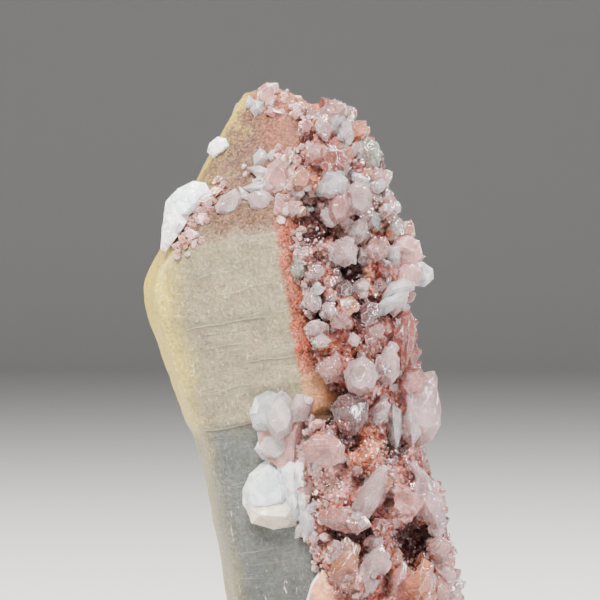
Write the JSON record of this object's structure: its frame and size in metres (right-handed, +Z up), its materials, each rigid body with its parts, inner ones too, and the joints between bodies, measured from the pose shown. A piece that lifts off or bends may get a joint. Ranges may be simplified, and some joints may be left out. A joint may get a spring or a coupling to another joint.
{
  "type": "scepter quartz specimen",
  "caption": "Leaning cloudy quartz crystal with a wide head on a narrower stem, a red crystal crust down one side, pale crystals perched on it and a flat cut base.",
  "frame": {"origin": "middle of the flat cut that the stem stands on", "axes": "+Z up, -Y towards the broad bare face that is seen from the front, +X towards the crusted side"},
  "size_m": [0.0515, 0.0471, 0.0923],
  "materials": {
    "cloudy_quartz": "satin, cloudy and translucent, with fine growth lines",
    "red_crust": "rough and granular, with glittering small crystal faces",
    "white_quartz": "frosted, milky",
    "pale_quartz": "glossy, clear to milky with a pink tint",
    "pink_quartz": "glossy, half clear with a pink tint"
  },
  "bodies": {
    "root": {"quartz_scepter": "cloudy_quartz", "flank_crust": "red_crust", "tip_crystals": "pale_quartz", "bead_crystal": "white_quartz", "shoulder_crystals": "white_quartz", "ridge_crystals": "pale_quartz", "knee_crystals": "pale_quartz", "white_block": "white_quartz", "foot_crystals": "pale_quartz", "base_blade": "pale_quartz", "outrigger_blocks": "pink_quartz", "long_pointers": "pale_quartz"}
  },
  "joints": []
}
